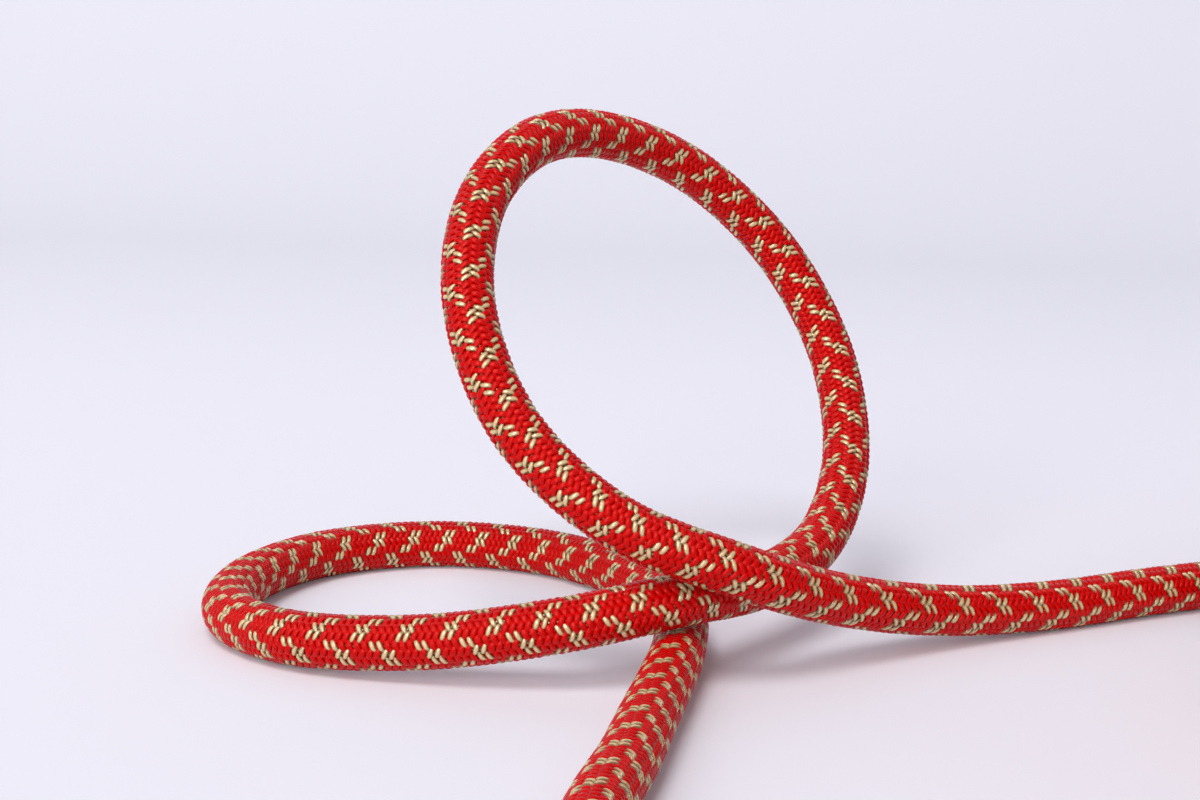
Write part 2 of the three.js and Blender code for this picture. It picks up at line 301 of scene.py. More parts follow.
@dataclass
class Shell:
    """Vertices, four-sided faces and a UV place for each face corner."""

    vertices: Rows  # one row each, in millimetres
    faces: Rows  # four vertex numbers each
    corners: Rows  # one UV row for each corner of each face

    def outward(self) -> "Shell":
        """Turn the faces round if they point inwards, so that the volume is negative.

        Returns:
            The shell itself, or a copy whose faces are turned round.
        """
        a, b, c, d = (self.vertices[self.faces[:, i]] for i in range(4))
        if (a * (np.cross(b, c) + np.cross(c, d))).sum() >= 0:
            return self
        turned = self.corners.reshape(-1, 4, 2)[:, ::-1].reshape(-1, 2)
        return Shell(self.vertices, self.faces[:, ::-1], turned)

    @staticmethod
    def tube(rings: Rows, along: Rows, closed: bool = False) -> "Shell":
        """Join rings of corners into a tube. U runs from 0 to 1 round it.

        Args:
            rings: Corners by ring, side and axis, in millimetres. The number of sides is even.
            along: The V of each ring.
            closed: Whether the last ring joins on to the first. If not, both ends are capped.

        Returns:
            The tube, with its faces pointing outwards.
        """
        count, sides, _ = rings.shape
        start = np.arange(count if closed else count - 1)[:, None] * sides
        onward = (start + sides) % (count * sides)
        side = np.arange(sides)[None, :]
        following = (side + 1) % sides
        faces = np.stack([start + side, start + following, onward + following, onward + side], -1)
        left, right = side / sides, (side + 1) / sides
        low, high = along[: len(start), None], np.roll(along, -1)[: len(start), None]
        pairs = ((left, low), (right, low), (right, high), (left, high))
        corners = np.stack([np.stack(np.broadcast_arrays(u, v), -1) for u, v in pairs], 2)
        caps, cap_corners = [], []
        ends = ((0, along[0], -1), ((count - 1) * sides, along[-1], 1))
        for base, level, order in () if closed else ends:
            for k in range(1, sides - 2, 2):
                caps.append([base, base + k, base + k + 1, base + k + 2][::order])
                cap_corners += [(0.0, level)] * 4
        return Shell(
            rings.reshape(-1, 3),
            np.vstack([faces.reshape(-1, 4), np.array(caps, int).reshape(-1, 4)]),
            np.vstack([corners.reshape(-1, 2), np.array(cap_corners, float).reshape(-1, 2)]),
        ).outward()

    @staticmethod
    def joined(shells: Sequence["Shell"]) -> "Shell":
        """Put several shells in one.

        Args:
            shells: The shells.

        Returns:
            One shell with all of their vertices and faces.
        """
        starts = np.cumsum([0] + [len(s.vertices) for s in shells[:-1]])
        return Shell(
            np.vstack([s.vertices for s in shells]),
            np.vstack([s.faces + start for s, start in zip(shells, starts)]),
            np.vstack([s.corners for s in shells]),
        )

    def to_object(self, name: str, uv_name: str) -> Piece:
        """Make a Blender object of the shell, in metres.

        Args:
            name: The object's name.
            uv_name: The UV map's name.

        Returns:
            The new object, linked to the scene.
        """
        mesh = bpy.data.meshes.new(name)
        mesh.vertices.add(len(self.vertices))
        mesh.vertices.foreach_set("co", (self.vertices * MM).ravel())
        mesh.loops.add(self.faces.size)
        mesh.loops.foreach_set("vertex_index", self.faces.ravel())
        mesh.polygons.add(len(self.faces))
        mesh.polygons.foreach_set("loop_start", np.arange(0, self.faces.size, 4))
        mesh.polygons.foreach_set("use_smooth", np.ones(len(self.faces), bool))
        mesh.update(calc_edges=True)
        for layer_name in (uv_name, BAKE_MAP):
            layer = mesh.uv_layers.new(name=layer_name)
            layer.data.foreach_set("uv", self.corners.ravel())
        return link(name, mesh)


def ring_corners(centre: Rows, across: Rows, up: Rows, turn: Rows, reach: Number = 1.0) -> Rows:
    """Place a ring of corners round each point of a line.

    Args:
        centre: The points, one row each.
        across: The rings' first half axes, one row each.
        up: Their second half axes.
        turn: The corners' angles in radians, by side, or by ring and side.
        reach: How far out the corners lie, as shares of the half axes.

    Returns:
        The corners by ring, side and axis.
    """
    x, y = reach * np.cos(turn), reach * np.sin(turn)
    return centre[:, None] + across[:, None] * x[..., None] + up[:, None] * y[..., None]


@dataclass(frozen=True)
class Wander:
    """Smooth random runs of numbers that are the same each time."""

    seed: int  # the first run's seed
    reach: float  # the usual size of the numbers
    spread: int  # over how many numbers a run is smoothed

    def run(self, number: int, count: int) -> Rows:
        """Draw one run.

        Args:
            number: Which run.
            count: How many numbers it has.

        Returns:
            The numbers.
        """
        source = np.random.RandomState(self.seed + number)
        rough = source.standard_normal(count + 2 * self.spread)
        window = np.hanning(2 * self.spread + 1)
        window = window / math.sqrt(float((window**2).sum()))
        return np.convolve(rough, window, mode="valid")[:count] * self.reach


# ---------------- materials


@dataclass(frozen=True)
class Value:
    """Something that a material's nodes work out, which takes plain arithmetic."""

    graph: "Graph"
    socket: Socket  # the output that carries it

    def apply(self, operation: str, *others: object) -> "Value":
        """Put the value through a Math node, as its first input."""
        return self.graph.math(operation, self, *others)

    def __add__(self, other: object) -> "Value":
        """Add a number or another value."""
        return self.apply("ADD", other)

    def __sub__(self, other: object) -> "Value":
        """Take away a number or another value."""
        return self.apply("SUBTRACT", other)

    def __rsub__(self, other: float) -> "Value":
        """Take this value from a number."""
        return self.graph.math("SUBTRACT", other, self)

    def __mul__(self, other: object) -> "Value":
        """Multiply by a number or another value."""
        return self.apply("MULTIPLY", other)

    def __mod__(self, other: float) -> "Value":
        """Take the remainder, which is never negative."""
        return self.apply("FLOORED_MODULO", other)

    def below(self, limit: float) -> "Value":
        """Give 1 below a limit, and otherwise 0."""
        return self.apply("LESS_THAN", limit)

    def wave(self, operation: str, pace: float) -> "Value":
        """Take the SINE or COSINE of the value times a pace."""
        return (self * pace).apply(operation)

    def pick(self, one: "Value", other: "Value") -> "Value":
        """Give one value where this is 1, and the other where it is 0."""
        return one * self + other * (1.0 - self)

    def clamped(self) -> "Value":
        """Hold the value between 0 and 1."""
        return self.graph.node("ShaderNodeClamp", {0: self})


@dataclass(frozen=True)
class Graph:
    """The nodes of a material or of the world, with short ways to add and join them."""

    owner: Material | bpy.types.World
    surface: str = "Principled BSDF"  # the node that makes its surface

    def feed(self, socket: Socket, value: object) -> None:
        """Link a value, or write a constant, into an input.

        Args:
            socket: The input.
            value: The Value or the constant.
        """
        if isinstance(value, Value):
            self.owner.node_tree.links.new(value.socket, socket)
        else:
            socket.default_value = value

    def node(
        self, kind: str, inputs: dict[int | str, object], output: int | str = 0, **settings: object
    ) -> Value:
        """Add a node.

        Args:
            kind: Its type.
            inputs: What to feed into which of its inputs.
            output: Which of its outputs is wanted.
            settings: Its other properties.

        Returns:
            What the output gives.
        """
        made = self.owner.node_tree.nodes.new(kind)
        for key, value in settings.items():
            setattr(made, key, value)
        for key, value in inputs.items():
            self.feed(made.inputs[key], value)
        return Value(self, made.outputs[output])

    def math(self, operation: str, *values: object) -> Value:
        """Add a Math node and return its result."""
        return self.node("ShaderNodeMath", dict(enumerate(values)), operation=operation)

    def blend(self, share: Value, low: object, high: object) -> Value:
        """Mix two colours by a share and return the result."""
        return self.node("ShaderNodeMix", {0: share, 6: low, 7: high}, 2, data_type="RGBA")

    def spot(self) -> Value:
        """Read the Object coordinates."""
        return self.node("ShaderNodeTexCoord", {}, "Object")

    def part(self, vector: Value, axis: int) -> Value:
        """Take one of a vector's three numbers."""
        return self.node("ShaderNodeSeparateXYZ", {0: vector}, axis)

    def uv(self, name: str) -> tuple[Value, Value]:
        """Read a UV map as its two numbers."""
        place = self.node("ShaderNodeUVMap", {}, uv_map=name)
        return self.part(place, 0), self.part(place, 1)

    def noise(self, scale: float, detail: float) -> Value:
        """Add noise, of so many grains to a metre."""
        inputs = {"Vector": self.spot(), "Scale": scale, "Detail": detail}
        return self.node("ShaderNodeTexNoise", inputs, "Fac")

    def bump(self, height: Value, distance: float, strength: float) -> Value:
        """Turn a height into a normal."""
        inputs = {"Height": height, "Distance": distance, "Strength": strength}
        return self.node("ShaderNodeBump", inputs, "Normal")

    def set(self, **values: object) -> None:
        """Set the surface's inputs.

        Args:
            values: What to feed into each, with underscores for the spaces in their names.
        """
        surface = self.owner.node_tree.nodes[self.surface]
        for key, value in values.items():
            self.feed(surface.inputs[key.replace("_", " ")], value)


@dataclass(frozen=True)
class Finish:
    """What every finish has: a name, and a new material to build on."""

    name: str

    def graph(self) -> Graph:
        """Start a new material.

        Returns:
            Its nodes.
        """
        material = bpy.data.materials.new(self.name)
        material.use_nodes = True
        return Graph(material)


@dataclass(frozen=True)
class TwoTone(Finish):
    """A surface that runs between two colours."""

    lit: Colour  # on its high places: painted light on the yarn, ply, braid and strap finishes, random tone on the plain finishes
    deep: Colour  # in its hollows: painted shade on the yarn, ply, braid and strap finishes (a lighter painted fill on the red yarn), random tone on the plain finishes

    def dress(self, graph: Graph, shade: Value, **values: object) -> Material:
        """Colour a surface by a shade from 0 to 1, set its other inputs and return its material."""
        graph.set(Base_Color=graph.blend(shade.clamped(), self.deep, self.lit), **values)
        return graph.owner


@dataclass(frozen=True)
class YarnFinish(TwoTone):
    """Shiny filament yarn that is woven into the sheath."""

    gleam: Colour  # the highlights' tint
    shine: float = 1.0
    roughness: float = 0.36
    index: float = 1.7  # the filaments' refractive index
    brushed: float = 0.7  # how far the highlights stretch across it
    crown: Pair = (1.5, -9.0)  # how far the lit colour holds on its top, and its fall a turn from there towards the deep colour down its sides: painted light and shade
    crest: Pair = (0.25, 1.1)  # the same halfway to a dive, and its swing: painted light on the crests, the deep colour where it dives under
    lay: Pair = (5.0, 6.0)  # filament ridges along a float, and round the yarn
    ridge: float = 0.12  # how much painted light and shade the filament ridges lay on it
    patches: Pair = (90.0, 0.4)  # to a metre, and how much they shade it
    fibres: float = 2600.0  # to a metre
    rough: Pair = (0.2, 0.3)  # how far the ridges and the fibres stand out
    relief: float = 0.00008  # how high they stand, in metres

    def material(self) -> Material:
        """Build the material on the yarn's UV map: its top is at 0.25, its crests at whole V.

        Returns:
            The material.
        """
        graph = self.graph()
        around, along = graph.uv("yarn")
        # Painted light and shade: the colour runs to lit on the yarn's top and crests, and to deep down
        # its sides, where it dives under and between the filament ridges.
        crown = ((around - 0.25).apply("ABSOLUTE") * self.crown[1] + self.crown[0]).clamped()
        crest = (along.wave("COSINE", math.tau) * self.crest[1] + self.crest[0]).clamped()
        ridge = (along * self.lay[0] + around * self.lay[1]).wave("SINE", math.tau)
        fibre = graph.noise(self.fibres, detail=2.0)
        patch = (graph.noise(self.patches[0], detail=3.0) - 0.5) * self.patches[1]
        height = ridge * self.rough[0] + fibre * self.rough[1]
        across = graph.node("ShaderNodeTangent", {}, direction_type="UV_MAP", uv_map="yarn")
        return self.dress(
            graph,
            crown * crest + ridge * self.ridge + patch,
            Roughness=self.roughness,
            IOR=self.index,
            Specular_IOR_Level=self.shine,
            Specular_Tint=self.gleam,
            Anisotropic=self.brushed,
            Tangent=across,
            Normal=graph.bump(height, self.relief, strength=0.6),
        )


@dataclass(frozen=True)
class BraidFinish(Finish):
    """The whole braid drawn on a smooth tube, for the turns of the coil."""

    body: YarnFinish  # the finish of most yarns
    tracer: YarnFinish  # the finish of the tracer yarns
    yarns: int = 18  # each way
    group: int = 6  # yarns from one pair of tracers to the next
    tracers: int = 2
    repeat: int = 4  # a yarn goes over two others, then under two
    bow: Pair = (0.95, 0.45)  # half turns across a yarn, and over each yarn along it
    shine: float = 0.5
    relief: float = 0.0005  # how high the yarns stand, in metres

    def material(self) -> Material:
        """Build the material on a UV map of turns round and turns along.

        The yarns that run one way are numbered k and those that run the other way m.

        Returns:
            The material.
        """
        graph = self.graph()
        around, along = (part * float(self.yarns) for part in graph.uv("braid"))
        a, b = around - along, around + along
        k, m = a.apply("ROUND"), b.apply("ROUND")
        repeat = float(self.repeat)
        over = ((k + m) % repeat).below(repeat / 2 - 0.5)
        across = over.pick(a - k, b - m)
        run = over.pick((k + b + 0.5) % repeat, (m + a + 0.5) % repeat - repeat / 2)
        traced = ((yarn % float(self.group)).below(self.tracers - 0.5) for yarn in (k, m))
        tracer = over.pick(*traced)
        crown = across.wave("COSINE", math.pi * self.bow[0])
        dome = (run - 1.0).wave("COSINE", math.pi * self.bow[1])
        height = crown.apply("MAXIMUM", 0.0).apply("SQRT") * dome
        # Painted light and shade: the colour runs from deep where the yarns dip under and at their
        # edges to lit on their tops; the tracer colours are the braid's own.
        lit = graph.blend(tracer, self.body.lit, self.tracer.lit)
        deep = graph.blend(tracer, self.body.deep, self.tracer.deep)
        graph.set(
            Base_Color=graph.blend(height.apply("POWER", 0.8), deep, lit),
            Roughness=self.body.roughness,
            Specular_IOR_Level=self.shine,
            Specular_Tint=self.body.gleam,
            Normal=graph.bump(height, self.relief, strength=1.0),
        )
        return graph.owner


@dataclass(frozen=True)
class PlainFinish(TwoTone):
    """A surface of one tone with fine grain and broad wear in it."""

    roughness: float
    shine: float
    grain: float  # to a metre
    relief: float  # how high the grain stands, in metres
    wear: Pair = (1.6, 0.6)  # how much the broad wear and the grain shade it

    def material(self) -> Material:
        """Build the material on Object coordinates.

        Returns:
            The material.
        """
        graph = self.graph()
        broad = graph.noise(self.grain / 12, detail=3.0)
        fine = graph.noise(self.grain, detail=4.0)
        return self.dress(
            graph,
            (broad - 0.5) * self.wear[0] + 0.5 + (fine - 0.5) * self.wear[1],
            Roughness=(fine - 0.5) * 0.2 + self.roughness,
            Specular_IOR_Level=self.shine,
            Normal=graph.bump(fine, self.relief, strength=0.7),
        )


@dataclass(frozen=True)
class PlyFinish(TwoTone):
    """Filament twisted in plies, with painted shade in the grooves between them."""

    plies: int = 3  # how many are twisted together
    filaments: Pair = (24.0, 9.0)  # round the strand, and along a turn of the plies
    fibres: float = 3200.0  # to a metre
    relief: float = 0.00005  # how high they stand, in metres

    def material(self) -> Material:
        """Build the material on a UV map that turns with the plies.

        Returns:
            The material.
        """
        graph = self.graph()
        around, along = graph.uv("ply")
        lobe = around.wave("COSINE", math.pi * self.plies).apply("ABSOLUTE")
        lay = around * self.filaments[0] + along * self.filaments[1]
        strand = lay.wave("SINE", math.tau)
        fibre = graph.noise(self.fibres, detail=3.0)
        # Painted light and shade: the lobes take the lit colour on each ply's top and the deep colour
        # in the grooves; the filament lines add a little more. The fibre noise is random tone.
        return self.dress(
            graph,
            strand * 0.08 + lobe * 0.85 + (fibre * 0.4 - 0.1),
            Roughness=0.42,
            Specular_IOR_Level=0.5,
            Normal=graph.bump(strand * 0.3 + fibre, self.relief, strength=0.7),
        )


@dataclass(frozen=True)
class StrapFinish(TwoTone):
    """Woven strap in a plain weave of thick yarns."""

    fibres: float = 4200.0  # to a metre
    patches: float = 130.0  # to a metre
    relief: float = 0.0002  # how high the yarns stand, in metres

    def material(self) -> Material:
        """Build the weave on the strap's UV map, which counts two yarns to each whole number.

        Returns:
            The material.
        """
        graph = self.graph()
        warp, weft = (part * 2.0 for part in graph.uv("weave"))
        over = ((warp.apply("FLOOR") + weft.apply("FLOOR")) % 2.0).below(0.5)
        crown, bend = (yarn.apply("FRACT").wave("SINE", math.pi) for yarn in (warp, weft))
        height = over.pick(crown * (bend * 0.6 + 0.4), bend * (crown * 0.6 + 0.4))
        fibre = graph.noise(self.fibres, detail=3.0)
        patch = graph.noise(self.patches, detail=3.0)
        # Painted light and shade: the colour runs to lit where a yarn passes over and to deep where it
        # dips under, varied at random by patches and fibres.
        return self.dress(
            graph,
            height * (patch * 0.6 + 0.6) + (fibre - 0.5) * 0.3,
            Roughness=0.78,
            Specular_IOR_Level=0.35,
            Normal=graph.bump(fibre * 0.2 + height, self.relief, strength=0.8),
        )


# The red yarn's deep colour is lighter than its lit one: a painted lighter fill down its sides and
# where it dives. The tan yarn's darker deep colour is painted shade there.
RED_YARN = YarnFinish(
    "red_yarn", srgb(190, 0, 0), srgb(198, 0, 0), srgb(255, 138, 130), shine=0.5, index=1.55
)
TAN_YARN = YarnFinish(
    "tan_yarn", srgb(216, 186, 136), srgb(124, 94, 56), srgb(255, 246, 220), index=1.8, roughness=0.25
)
WHITE_STRAND = PlyFinish("white_strand", srgb(240, 238, 230), srgb(168, 164, 154))
BLUE_THREAD = PlyFinish("blue_thread", srgb(60, 118, 186), srgb(22, 56, 108), plies=2)
COIL_BRAID = BraidFinish("coil_braid", RED_YARN, TAN_YARN)
# The backing's red is lighter than the yarns': painted light in the gaps between them, where shade
# falls.
BACKING = PlainFinish("braid_backing", srgb(228, 0, 0), srgb(206, 0, 0), 0.8, 0.2, 2400.0, 0.00005)
SHRINK = PlainFinish("shrink_sleeve", srgb(38, 38, 41), srgb(20, 20, 22), 0.42, 0.5, 900.0, 0.00004)
FUSED = PlainFinish("fused_end", srgb(150, 34, 36), srgb(84, 12, 16), 0.3, 0.6, 500.0, 0.0003)
STRAP = StrapFinish("tie_strap", srgb(62, 62, 68), srgb(16, 16, 19))
STITCH = PlainFinish("tie_stitching", srgb(96, 96, 102), srgb(52, 52, 58), 0.6, 0.4, 3600.0, 0.00004)


def put(piece: Piece, material: Material) -> Piece:
    """Dress a piece, let it ride on the body and log it.

    Args:
        piece: The piece.
        material: Its material.

    Returns:
        The same piece.
    """
    piece.data.materials.clear()
    piece.data.materials.append(material)
    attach(piece, BODY)
    LOG.info("%s: %d faces", piece.name, len(piece.data.polygons))
    return piece


# ---------------- modelling by hand


@contextmanager
def drawn_ring(name: str, sides: int, radius: float) -> Iterator[Piece]:
    """Start a piece from a bare ring at the origin, in edit mode, with only the ring selected.

    Args:
        name: The piece's name.
        sides: The ring's number of sides.
        radius: Its radius, in millimetres.

    Yields:
        The piece. Edit mode ends when the block does.
    """
    bpy.ops.object.select_all(action="DESELECT")
    bpy.ops.mesh.primitive_circle_add(vertices=sides, radius=radius * MM, fill_type="NOTHING")
    piece = bpy.context.object
    piece.name = piece.data.name = name
    bpy.ops.object.mode_set(mode="EDIT")
    yield piece
    bpy.ops.object.mode_set(mode="OBJECT")


def extrude(out: float, up: float) -> None:
    """Draw what is selected out along Y and up, in millimetres."""
    bpy.ops.mesh.extrude_region_move(TRANSFORM_OT_translate={"value": (0, out * MM, up * MM)})


def apply_modifiers(piece: Piece) -> None:
    """Apply a piece's modifiers in order.

    Args:
        piece: The piece.
    """
    bpy.ops.object.select_all(action="DESELECT")
    piece.select_set(True)
    bpy.context.view_layer.objects.active = piece
    for name in [modifier.name for modifier in piece.modifiers]:
        bpy.ops.object.modifier_apply(modifier=name)


def soften(piece: Piece, width: float, segments: int, angle: float) -> None:
    """Add a modifier that rounds a piece's sharp edges over.

    Args:
        piece: The piece.
        width: The rounding's width, in millimetres.
        segments: How many faces it has across.
        angle: How sharp an edge has to be, in degrees.
    """
    soft = piece.modifiers.new("soft_edge", "BEVEL")
    soft.width = width * MM
    soft.segments = segments
    soft.limit_method = "ANGLE"
    soft.angle_limit = math.radians(angle)


def thicken(piece: Piece, middle: Sequence[float], wall: float, edge: float, side: float) -> None:
    """Give an open sheet its wall, round its edges over and shade it smooth.

    Args:
        piece: The sheet. It is turned round first if its faces point to its middle.
        middle: The middle of what the sheet goes round, in millimetres.
        wall: The wall's thickness, in millimetres.
        edge: The width of the rounding on its edges, in millimetres.
        side: On which side of the sheet the wall lies: -1 behind its faces, 1 before them.
    """
    inside = Vector(middle) * MM
    if sum(face.normal.dot(face.center - inside) for face in piece.data.polygons) < 0:
        piece.data.flip_normals()
    solid = piece.modifiers.new("wall", "SOLIDIFY")
    solid.thickness = wall * MM
    solid.offset = side
    solid.use_even_offset = True
    soften(piece, edge, segments=2, angle=50)
    apply_modifiers(piece)
    bpy.ops.object.shade_smooth_by_angle(angle=math.radians(40))


# ---------------- camera


@dataclass(frozen=True)
class PhotoCamera:
    """The camera at the photograph's viewing angle."""

    place: Point = (-132.0, -334.0, 108.0)  # where it stands, in millimetres
    down: float = 9.2  # how far it looks down, in degrees
    roll: float = 1.74  # how far it is rolled, in degrees
    lens: float = 60.0
    sensor: float = 36.0

    def build(self) -> None:
        """Make the camera and set it as the scene's."""
        data = bpy.data.cameras.new("photo_camera")
        data.lens = self.lens
        data.sensor_width = self.sensor
        data.clip_start = 0.01
        data.clip_end = 20.0
        camera = link("photo_camera", data)
        turn = Matrix.Rotation(math.radians(90 - self.down), 4, "X")
        roll = Matrix.Rotation(math.radians(self.roll), 4, "Z")
        camera.matrix_world = Matrix.Translation(Vector(self.place) * MM) @ turn @ roll
        bpy.context.scene.camera = camera


# ---------------- the free stretch


@dataclass
class BraidedStretch:
    """The sheath of the rope's free stretch, a braid of yarns."""

    line: Line
    yarns: int = 18  # each way
    group: int = 6  # yarns from one pair of tracers to the next
    tracers: int = 2
    per_piece: int = 4
    middle: float = 4.49  # how far out the yarns' middle lies
    swing: float = 0.24  # how far they move out and in from there
    # How far a yarn slips along the rope as it crosses, which lays its floats flatter.
    lean: float = 0.24
    # The width between a crest and a dive, and how much wider it is on a crest, each way.
    yarn_width: Pair = (1.07, 0.16)
    tracer_width: Pair = (0.81, 0.27)  # the same of a tracer yarn
    yarn_depth: float = 0.62
    in_and_out: Wander = Wander(100, 0.012, 5)  # how a yarn strays in and out
    girth: Wander = Wander(200, 0.03, 7)  # how its width varies
    drift: Wander = Wander(300, 0.45, 9)  # how it strays round the rope, in degrees
    sides: int = 8
    rings_per_wave: int = 8  # from one crest to the next
    samples: int = 8000  # of the turns, to lay the rings out by
    end_gap: float = 0.1  # how near to an end of the rope a ring may come
    backing_radius: float = 4.3
    backing_wall: float = 0.2
    backing_sides: int = 16
    backing_rings: int = 500

    def _turns(self, at: Rows) -> Rows:
        """How many turns a yarn has made by a distance along the rope."""
        return eased(at, LAY_MARKS, LAY_CROSSINGS) / (self.yarns / self.group)

    def _is_tracer(self, number: int) -> bool:
        """Tell whether a yarn is one of the tracers."""
        return number % self.group < self.tracers

    def _rings(self) -> Rows:
        """Lay out the rings of corners that every yarn has.

        Returns:
            Their distances along the rope, evenly spaced in its turns.
        """
        step = 2.0 / self.yarns / self.rings_per_wave
        fine = np.linspace(0.0, self.line.length, self.samples)
        turns = self._turns(fine)
        marks = np.arange(math.ceil(turns[0] / step), math.floor(turns[-1] / step) + 1) * step
        inner = np.interp(marks, turns, fine)
        inner = inner[(inner > self.end_gap) & (inner < self.line.length - self.end_gap)]
        return np.concatenate([[0.0], inner, [self.line.length]])

    def yarn(self, number: int, way: Way) -> Shell:
        """Sweep one yarn along the rope.

        Args:
            number: Which yarn of its way.
            way: The way it runs.

        Returns:
            The yarn's closed tube.
        """
        at = self._rings()
        run, count = number * 2 + (way is Way.WITH), len(at)
        turns = self._turns(at)
        local = number * 360.0 / self.yarns + way.value * 360.0 * turns
        wave_angle = 2 * 360.0 / self.yarns
        crest = wave_angle * (1 if way is Way.WITH else 5) / 8
        phase = np.radians((local - crest) * self.yarns / 2)
        wave = np.cos(phase)
        at = np.clip(at - self.lean * np.sin(phase) * way.value, 0.0, self.line.length)
        radius = self.middle + self.swing * np.sin(wave * math.pi / 2)
        radius = radius + self.in_and_out.run(run, count)
        narrow, swell = self.tracer_width if self._is_tracer(number) else self.yarn_width
        width = (narrow + swell * wave) * (1 + self.girth.run(run, count))
        angle = np.radians(local + self.drift.run(run, count) + eased(at, LAY_MARKS, LAY_TWIST))
        _, normal, third = self.line.frames(at)
        outward = normal * np.cos(angle)[:, None] + third * np.sin(angle)[:, None]
        centre = self.line.place(at) + outward * radius[:, None]
        heading = unit(np.gradient(centre, axis=0))
        flat = unit(np.cross(heading, outward))
        half_axes = flat * (width / 2)[:, None], np.cross(flat, heading) * (self.yarn_depth / 2)
        floats = turns * self.yarns / 2 + way.value * (number / 2 - crest / wave_angle)
        return Shell.tube(ring_corners(centre, *half_axes, corner_angles(self.sides)), floats)

    def build(self) -> list[Piece]:
        """Make the braid in pieces of four yarns, each of one colour, and its inner face.

        Returns:
            The pieces.
        """
        red, tan = [], []
        for way in Way:
            for number in range(self.yarns):
                (tan if self._is_tracer(number) else red).append(self.yarn(number, way))
        pieces = []
        for label, shells, finish in (("red", red, RED_YARN), ("tan", tan, TAN_YARN)):
            material = finish.material()
            for i in range(0, len(shells), self.per_piece):
                name = f"sheath_{label}_yarns_{i // self.per_piece + 1}"
                made = Shell.joined(shells[i : i + self.per_piece]).to_object(name, "yarn")
                pieces.append(put(made, material))
        pieces.append(self._backing())
        return pieces

    def _backing(self) -> Piece:
        """Make the inner face of the sheath, seen only between the yarns.

        Returns:
            The piece.
        """
        outside = np.linspace(0.0, self.line.length, self.backing_rings)
        at = np.concatenate([outside, outside[::-1]])
        inside = np.arange(len(at)) >= len(outside)
        radius = (self.backing_radius - self.backing_wall * inside)[:, None]
        _, normal, third = self.line.frames(at)
        turn = corner_angles(self.backing_sides)
        rings = ring_corners(self.line.place(at), normal * radius, third * radius, turn)
        shell = Shell.tube(rings, at / (2 * ROPE_RADIUS), closed=True)
        # Its red is lighter than the yarns': painted light in the gaps between them.
        return put(shell.to_object("sheath_backing", "yarn"), BACKING.material())


@dataclass
class Core:
    """The twelve strands inside the sheath, three in the middle, and the marker thread."""

    line: Line
    rings: tuple[tuple[int, float], ...] = ((3, 1.016), (9, 2.967))  # strands, and how far out
    strand_radius: float = 0.78
    groove: float = 0.2  # the depth between its plies, as a share of the radius
    lead: float = 30.0  # the length in which the plies make a turn
    sides: int = 12
    marker_radius: float = 0.22
    marker_place: Pair = (3.357, 200.0)  # how far out, and at what angle
    first_angle: float = 180.0  # the first strand's angle in the line's frames
    gap: float = 2.0  # from one ring of corners to the next

    def _twisted(self, place: Pair, radius: float, plies: int) -> Shell:
        """Sweep one twisted strand.

        Args:
            place: How far out it lies from the middle line, and at what angle in degrees.
            radius: Its radius.
            plies: How many plies show on it.

        Returns:
            The strand's closed tube.
        """
        out, angle = place
        at = np.linspace(0.0, self.line.length, int(self.line.length / self.gap))
        _, normal, third = self.line.frames(at)
        turn = math.radians(angle)
        centre = self.line.place(at) + (normal * math.cos(turn) + third * math.sin(turn)) * out
        local = corner_angles(self.sides)
        lobe = 1 - self.groove * (1 - np.abs(np.cos(local * plies / 2)))
        spin = (at / self.lead * math.tau)[:, None] + local
        return Shell.tube(ring_corners(centre, normal, third, spin, radius * lobe), at / self.lead)

    def build(self) -> list[Piece]:
        """Make the strands and the marker, each in place of its CAD node.

        Returns:
            The pieces.
        """
        pieces = []
        white = WHITE_STRAND.material()
        for count, out in self.rings:
            for i in range(count):
                place = (out, self.first_angle + 360.0 * i / count)
                shell = self._twisted(place, self.strand_radius, WHITE_STRAND.plies)
                number = f"{len(pieces) + 1:02d}"
                made = put(shell.to_object(f"strand_{number}", "ply"), white)
                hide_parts(f"core_strand_{number}")
                pieces.append(made)
        shell = self._twisted(self.marker_place, self.marker_radius, BLUE_THREAD.plies)
        marker = put(shell.to_object("marker", "ply"), BLUE_THREAD.material())
        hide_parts("marker_thread")
        return [*pieces, marker]


# ---------------- the ends


